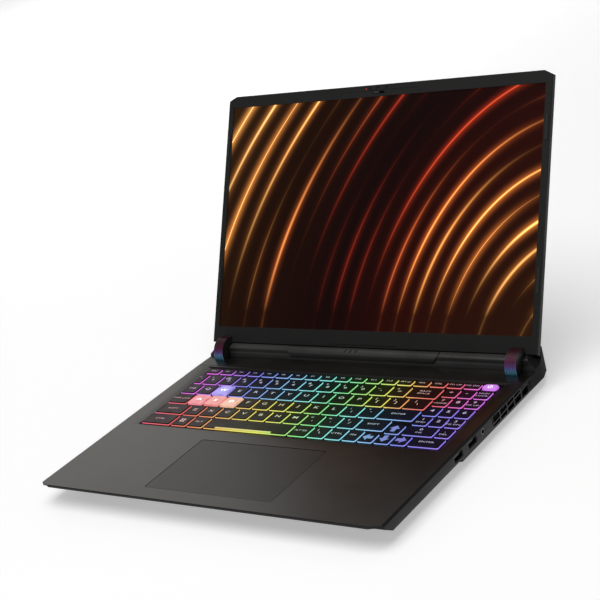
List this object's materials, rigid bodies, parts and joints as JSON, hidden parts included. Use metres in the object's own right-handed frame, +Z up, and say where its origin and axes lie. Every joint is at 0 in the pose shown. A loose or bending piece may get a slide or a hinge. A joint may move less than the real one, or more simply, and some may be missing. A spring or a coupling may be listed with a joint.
{
  "type": "laptop computer",
  "caption": "Large gaming laptop with its lid open: lit keyboard with number pad, touchpad, raised rear hinge hump and vented tail.",
  "frame": {"origin": "middle of the laptop's footprint with the lid open, on the surface that it stands on", "axes": "+X to the user's right, +Y from the front edge to the back, +Z up"},
  "size_m": [0.357, 0.3816, 0.2404],
  "materials": {
    "deck_metal": "bead-blasted and anodised, dark warm grey",
    "bottom_plastic": "fine moulded grain",
    "shroud_plastic": "fine moulded grain, satin",
    "steel_plate": "plain rolled",
    "light_sheet": "diffusing film",
    "circuit_board": "solder mask",
    "battery_wrap": "plastic wrap",
    "fan_plastic": "moulded",
    "impeller_plastic": "moulded",
    "copper": "copper, lacquered black in places",
    "fin_metal": "plain sheet fins",
    "module_board": "solder mask",
    "speaker_plastic": "moulded",
    "touchpad_glass": "etched matte glass",
    "hinge_steel": "ground",
    "hinge_gloss": "iridescent blue to violet to maroon lacquer",
    "lid_metal": "anodised dark grey",
    "bezel_plastic": "fine matte grain",
    "screen": "lit display behind an anti-glare face",
    "camera_black": "lens glass",
    "shutter_plastic": "moulded",
    "bumper_rubber": "matte",
    "cable_black": "taped flat cable",
    "antenna_foil": "printed foil",
    "socket_metal": "plated shell",
    "socket_black": "moulded",
    "foot_rubber": "matte",
    "screw_steel": "black oxide",
    "key_cap": "soft-touch top over a translucent skirt",
    "lit_cap_violet": "translucent, lit from below",
    "lit_cap_blue": "translucent, lit from below",
    "lit_cap_red": "translucent, lit from below",
    "lit_cap_orange": "translucent, lit from below",
    "arrow_cap": "soft-touch top over a translucent skirt"
  },
  "bodies": {
    "base": {"top_case": "deck_metal", "bottom_cover": "bottom_plastic", "rear_shroud": "shroud_plastic", "keyboard_plate": "steel_plate", "keyboard_backlight": "light_sheet", "motherboard": "circuit_board", "battery_pack": "battery_wrap", "fan_housing_left": "fan_plastic", "fan_housing_right": "fan_plastic", "heat_pipes": "copper", "heat_sinks": "fin_metal", "ssd_module": "module_board", "memory_modules": "module_board", "wireless_card": "module_board", "speakers": "speaker_plastic", "touchpad_bracket": "steel_plate", "hinge_brackets": "hinge_steel", "usb_sockets": "socket_metal", "usb_c_sockets": "socket_metal", "audio_jack": "socket_black", "ethernet_socket": "socket_black", "hdmi_socket": "socket_metal", "power_inlet": "socket_black", "rubber_feet": "foot_rubber", "bottom_screws": "screw_steel"},
    "lid": {"hinge_pins": "hinge_steel", "hinge_arms": "hinge_steel", "hinge_cover_left": "hinge_gloss", "hinge_cover_right": "hinge_gloss", "lid_cover": "lid_metal", "display_bezel": "bezel_plastic", "lcd_panel": "screen", "webcam_module": "camera_black", "lid_bumpers": "bumper_rubber", "display_cable": "cable_black", "antennas": "antenna_foil"},
    "webcam_shutter": {"webcam_shutter": "shutter_plastic"},
    "touchpad": {"touchpad": "touchpad_glass"},
    "fan_left": {"fan_impeller_left": "impeller_plastic"},
    "fan_right": {"fan_impeller_right": "impeller_plastic"},
    "power_button": {"power_button": "lit_cap_violet"},
    "key_w": {"key_w": "lit_cap_blue"},
    "key_a": {"key_a": "lit_cap_red"},
    "key_s": {"key_s": "lit_cap_red"},
    "key_d": {"key_d": "lit_cap_orange"},
    "key_space": {"key_space": "key_cap"},
    "key_enter": {"key_enter": "key_cap"},
    "key_backspace": {"key_backspace": "key_cap"},
    "key_tab": {"key_tab": "key_cap"},
    "key_shift_left": {"key_shift_left": "key_cap"},
    "key_shift_right": {"key_shift_right": "key_cap"},
    "key_enter_numpad": {"key_enter_numpad": "key_cap"},
    "keys_function_row": {"keys_function_row": "key_cap"},
    "keys_number_row": {"keys_number_row": "key_cap"},
    "keys_top_row": {"keys_top_row": "key_cap"},
    "keys_home_row": {"keys_home_row": "key_cap"},
    "keys_bottom_row": {"keys_bottom_row": "key_cap"},
    "keys_modifiers": {"keys_modifiers": "key_cap"},
    "keys_arrows": {"keys_arrows": "arrow_cap"},
    "keys_numpad": {"keys_numpad": "key_cap"}
  },
  "joints": [
    {"name": "lid_hinge", "type": "hinge", "parent": "base", "child": "lid", "pos_m": [0, 0.06163, 0.02325], "axis": [1, 0, 0], "range_deg": [-12, 119.5]},
    {"name": "shutter_slide", "type": "slide", "parent": "lid", "child": "webcam_shutter", "axis": [1, 0, 0], "range_m": [0, 0.004]},
    {"name": "touchpad_click", "type": "hinge", "parent": "base", "child": "touchpad", "pos_m": [0, -0.09627, 0.01945], "axis": [1, 0, 0], "range_deg": [0, 0.45], "stiffness_Nm_per_rad": 7, "springref_deg": -0.23},
    {"name": "fan_left_spin", "type": "hinge", "parent": "base", "child": "fan_left", "pos_m": [-0.116, -0.01237, 0.0114], "axis": [0, 0, 1], "continuous": true},
    {"name": "fan_right_spin", "type": "hinge", "parent": "base", "child": "fan_right", "pos_m": [0.116, -0.01237, 0.0114], "axis": [0, 0, 1], "continuous": true},
    {"name": "power_button_press", "type": "slide", "parent": "base", "child": "power_button", "axis": [0, 0, -1], "range_m": [0, 0.0015], "stiffness_N_per_m": 200, "springref_m": -0.0005},
    {"name": "key_w_press", "type": "slide", "parent": "base", "child": "key_w", "axis": [0, 0, -1], "range_m": [0, 0.0015], "stiffness_N_per_m": 200, "springref_m": -0.0005},
    {"name": "key_a_press", "type": "slide", "parent": "base", "child": "key_a", "axis": [0, 0, -1], "range_m": [0, 0.0015], "stiffness_N_per_m": 200, "springref_m": -0.0005},
    {"name": "key_s_press", "type": "slide", "parent": "base", "child": "key_s", "axis": [0, 0, -1], "range_m": [0, 0.0015], "stiffness_N_per_m": 200, "springref_m": -0.0005},
    {"name": "key_d_press", "type": "slide", "parent": "base", "child": "key_d", "axis": [0, 0, -1], "range_m": [0, 0.0015], "stiffness_N_per_m": 200, "springref_m": -0.0005},
    {"name": "key_space_press", "type": "slide", "parent": "base", "child": "key_space", "axis": [0, 0, -1], "range_m": [0, 0.0015], "stiffness_N_per_m": 200, "springref_m": -0.0005},
    {"name": "key_enter_press", "type": "slide", "parent": "base", "child": "key_enter", "axis": [0, 0, -1], "range_m": [0, 0.0015], "stiffness_N_per_m": 200, "springref_m": -0.0005},
    {"name": "key_backspace_press", "type": "slide", "parent": "base", "child": "key_backspace", "axis": [0, 0, -1], "range_m": [0, 0.0015], "stiffness_N_per_m": 200, "springref_m": -0.0005},
    {"name": "key_tab_press", "type": "slide", "parent": "base", "child": "key_tab", "axis": [0, 0, -1], "range_m": [0, 0.0015], "stiffness_N_per_m": 200, "springref_m": -0.0005},
    {"name": "key_shift_left_press", "type": "slide", "parent": "base", "child": "key_shift_left", "axis": [0, 0, -1], "range_m": [0, 0.0015], "stiffness_N_per_m": 200, "springref_m": -0.0005},
    {"name": "key_shift_right_press", "type": "slide", "parent": "base", "child": "key_shift_right", "axis": [0, 0, -1], "range_m": [0, 0.0015], "stiffness_N_per_m": 200, "springref_m": -0.0005},
    {"name": "key_enter_numpad_press", "type": "slide", "parent": "base", "child": "key_enter_numpad", "axis": [0, 0, -1], "range_m": [0, 0.0015], "stiffness_N_per_m": 200, "springref_m": -0.0005},
    {"name": "keys_function_row_press", "type": "slide", "parent": "base", "child": "keys_function_row", "axis": [0, 0, -1], "range_m": [0, 0.0015], "stiffness_N_per_m": 600, "springref_m": -0.0005},
    {"name": "keys_number_row_press", "type": "slide", "parent": "base", "child": "keys_number_row", "axis": [0, 0, -1], "range_m": [0, 0.0015], "stiffness_N_per_m": 600, "springref_m": -0.0005},
    {"name": "keys_top_row_press", "type": "slide", "parent": "base", "child": "keys_top_row", "axis": [0, 0, -1], "range_m": [0, 0.0015], "stiffness_N_per_m": 600, "springref_m": -0.0005},
    {"name": "keys_home_row_press", "type": "slide", "parent": "base", "child": "keys_home_row", "axis": [0, 0, -1], "range_m": [0, 0.0015], "stiffness_N_per_m": 600, "springref_m": -0.0005},
    {"name": "keys_bottom_row_press", "type": "slide", "parent": "base", "child": "keys_bottom_row", "axis": [0, 0, -1], "range_m": [0, 0.0015], "stiffness_N_per_m": 600, "springref_m": -0.0005},
    {"name": "keys_modifiers_press", "type": "slide", "parent": "base", "child": "keys_modifiers", "axis": [0, 0, -1], "range_m": [0, 0.0015], "stiffness_N_per_m": 600, "springref_m": -0.0005},
    {"name": "keys_arrows_press", "type": "slide", "parent": "base", "child": "keys_arrows", "axis": [0, 0, -1], "range_m": [0, 0.0015], "stiffness_N_per_m": 600, "springref_m": -0.0005},
    {"name": "keys_numpad_press", "type": "slide", "parent": "base", "child": "keys_numpad", "axis": [0, 0, -1], "range_m": [0, 0.0015], "stiffness_N_per_m": 600, "springref_m": -0.0005}
  ]
}
